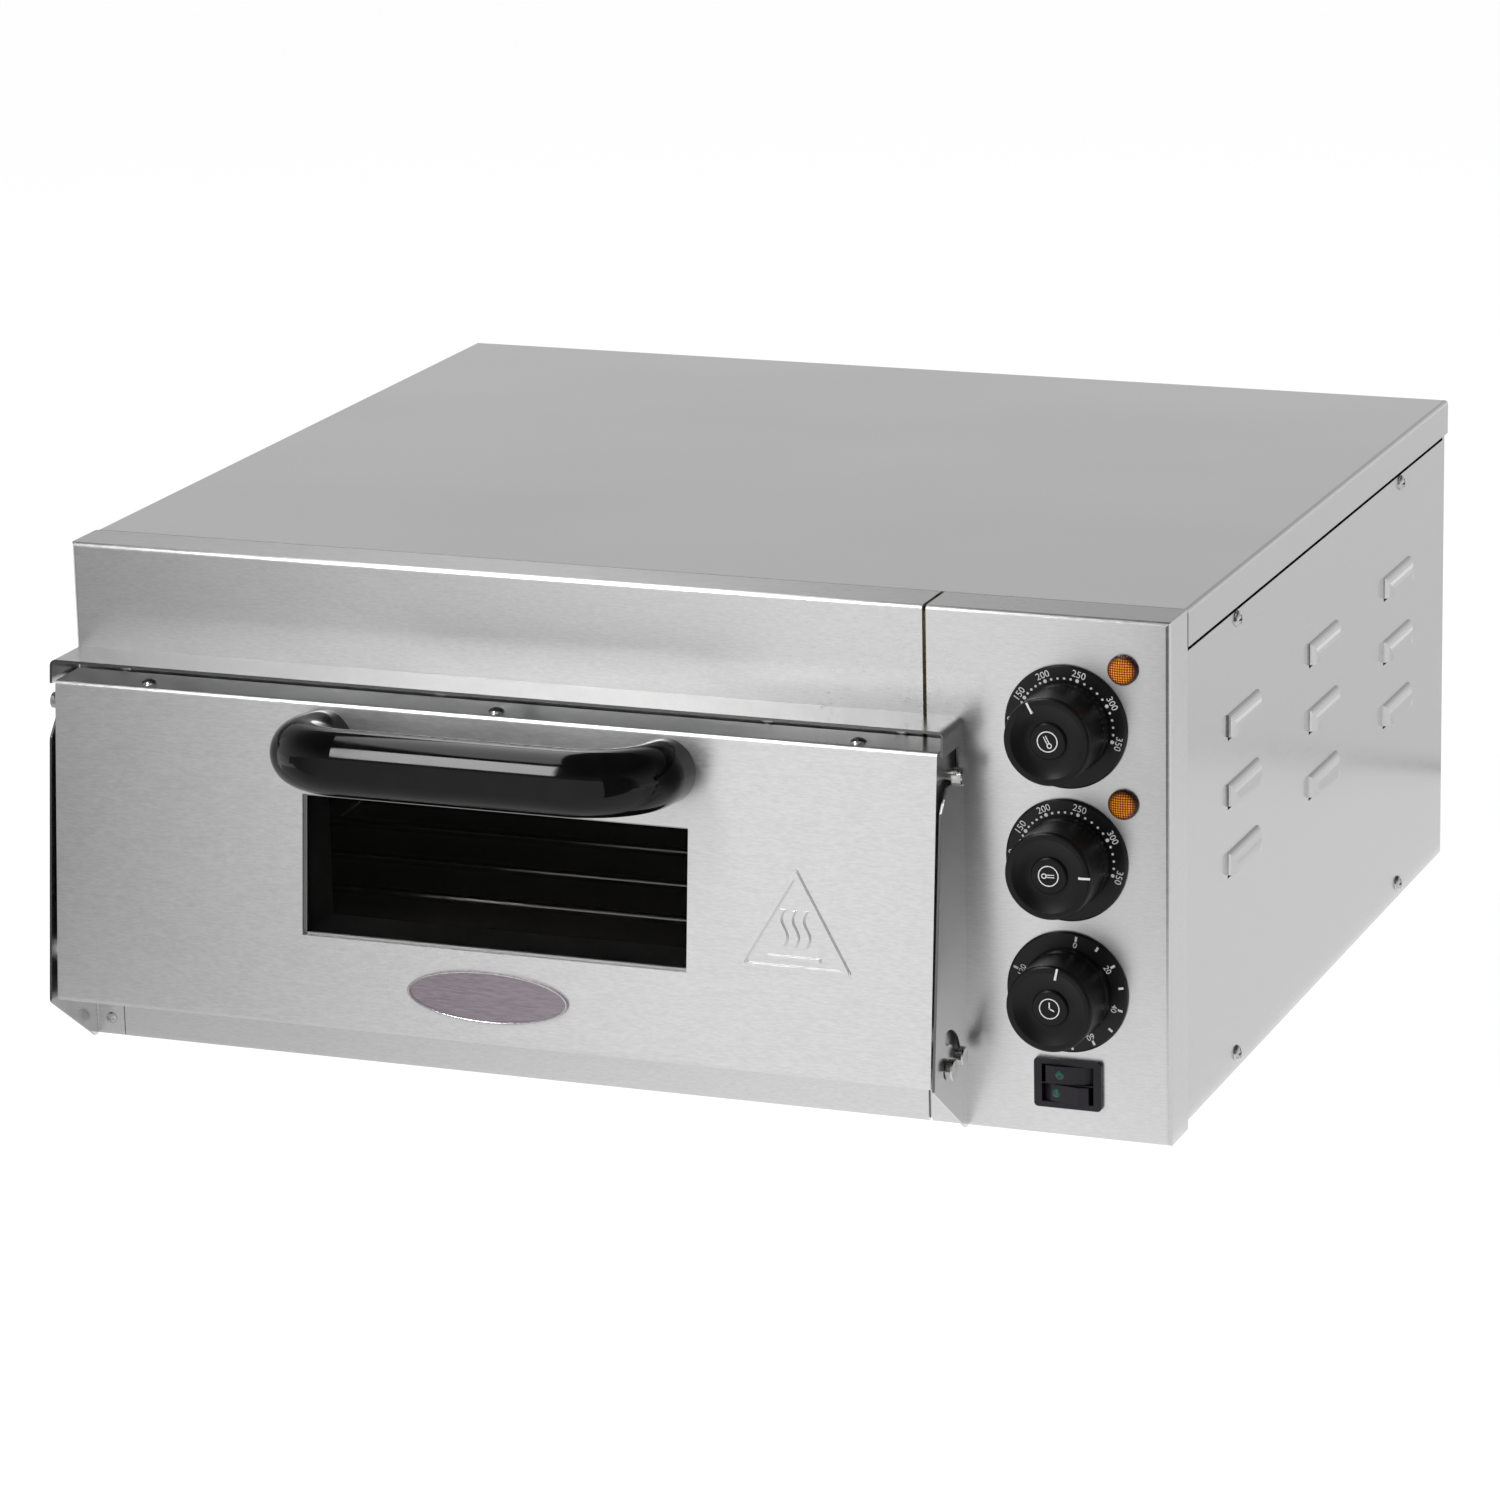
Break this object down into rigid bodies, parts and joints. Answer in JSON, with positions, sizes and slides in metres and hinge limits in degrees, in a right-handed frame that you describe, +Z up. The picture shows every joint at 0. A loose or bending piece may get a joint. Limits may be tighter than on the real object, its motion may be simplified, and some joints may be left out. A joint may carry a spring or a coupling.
{
  "type": "countertop pizza oven",
  "caption": "Low stainless countertop pizza oven: drop-down glazed door with black bow handle, dials and rocker switch at the right, louvred side.",
  "frame": {"origin": "on the resting surface, under the middle of the whole object's footprint", "axes": "+X to the right seen from the front, +Y to the back (away from the door), +Z up"},
  "size_m": [0.5687, 0.6066, 0.262],
  "materials": {
    "stainless_front": "horizontal brushed grain, satin",
    "stainless_body": "brushed grain, satin",
    "hood_steel": "bright brushed",
    "door_steel": "horizontal brushed grain, satin",
    "door_inner_steel": "satin",
    "chamber_steel": "satin, slightly heat-tinted",
    "mineral_wool": "fibrous",
    "fire_clay": "matte, slightly porous",
    "rack_chrome": "bright",
    "element_sheath": "satin, darkened",
    "regulator_plastic": "matte",
    "bulb_copper": "satin",
    "amber_lens": "glossy, translucent",
    "dial_black": "glossy",
    "switch_black": "satin",
    "green_lens": "glossy",
    "terminal_ceramic": "matte glaze",
    "lead_insulation": "matte",
    "gland_black": "matte",
    "foot_rubber": "matte",
    "bright_screw": "bright",
    "window_glass": "clear, dark",
    "gasket_braid": "braided",
    "handle_black": "high gloss",
    "badge_metal": "fine brushed",
    "knob_black": "satin gloss",
    "shaft_steel": "turned"
  },
  "bodies": {
    "cabinet": {"upper_fascia": "stainless_front", "control_panel": "stainless_front", "left_front_post": "stainless_front", "lower_front_rail": "stainless_front", "base_plate": "stainless_body", "rear_panel": "stainless_body", "left_side_panel": "stainless_body", "right_side_panel": "stainless_body", "top_cover": "stainless_body", "compartment_divider": "stainless_body", "hood_bracket": "hood_steel", "hood_rivets": "hood_steel", "chamber_liner": "chamber_steel", "mouth_frame": "chamber_steel", "stone_rails": "chamber_steel", "top_insulation": "mineral_wool", "bottom_insulation": "mineral_wool", "side_insulation": "mineral_wool", "rear_insulation": "mineral_wool", "baking_stone": "fire_clay", "wire_rack": "rack_chrome", "upper_heating_element": "element_sheath", "lower_heating_element": "element_sheath", "upper_thermostat_body": "regulator_plastic", "lower_thermostat_body": "regulator_plastic", "timer_body": "regulator_plastic", "sensing_bulbs": "bulb_copper", "pilot_lamps": "amber_lens", "dial_plates": "dial_black", "switch_housing": "switch_black", "terminal_block": "terminal_ceramic", "wiring_loom": "lead_insulation", "cable_gland": "gland_black", "rubber_feet": "foot_rubber", "side_screws": "bright_screw", "rear_screws": "bright_screw", "post_screw": "bright_screw"},
    "door": {"door_outer_skin": "door_steel", "door_inner_panel": "door_inner_steel", "window_frame": "door_inner_steel", "door_glass": "window_glass", "door_gasket": "gasket_braid", "door_insulation": "mineral_wool", "door_handle": "handle_black", "handle_screws": "bright_screw", "door_screws": "bright_screw", "latch_pins": "bright_screw", "hinge_bolts": "bright_screw", "stop_bolts": "bright_screw", "badge_plate": "badge_metal"},
    "upper_thermostat": {"upper_thermostat_knob": "knob_black", "upper_thermostat_shaft": "shaft_steel"},
    "lower_thermostat": {"lower_thermostat_knob": "knob_black", "lower_thermostat_shaft": "shaft_steel"},
    "timer": {"timer_knob": "knob_black", "timer_shaft": "shaft_steel"},
    "upper_rocker": {"upper_rocker": "switch_black", "upper_rocker_lens": "green_lens"},
    "lower_rocker": {"lower_rocker": "switch_black", "lower_rocker_lens": "green_lens"}
  },
  "joints": [
    {"name": "door_hinge", "type": "hinge", "parent": "cabinet", "child": "door", "pos_m": [-0.05, -0.23874, 0.047], "axis": [1, 0, 0], "range_deg": [0, 80]},
    {"name": "upper_thermostat_turn", "type": "hinge", "parent": "cabinet", "child": "upper_thermostat", "pos_m": [0.23, -0.21074, 0.2095], "axis": [0, -1, 0], "range_deg": [-131, 147]},
    {"name": "lower_thermostat_turn", "type": "hinge", "parent": "cabinet", "child": "lower_thermostat", "pos_m": [0.23, -0.21074, 0.1455], "axis": [0, -1, 0], "range_deg": [-15, 263]},
    {"name": "timer_turn", "type": "hinge", "parent": "cabinet", "child": "timer", "pos_m": [0.23, -0.21074, 0.0815], "axis": [0, -1, 0], "range_deg": [-282, 0]},
    {"name": "upper_rocker_tilt", "type": "hinge", "parent": "cabinet", "child": "upper_rocker", "pos_m": [0.2302, -0.20724, 0.04115], "axis": [0, 0, 1], "range_deg": [-20, 0]},
    {"name": "lower_rocker_tilt", "type": "hinge", "parent": "cabinet", "child": "lower_rocker", "pos_m": [0.2302, -0.20724, 0.03165], "axis": [0, 0, 1], "range_deg": [0, 20]}
  ]
}
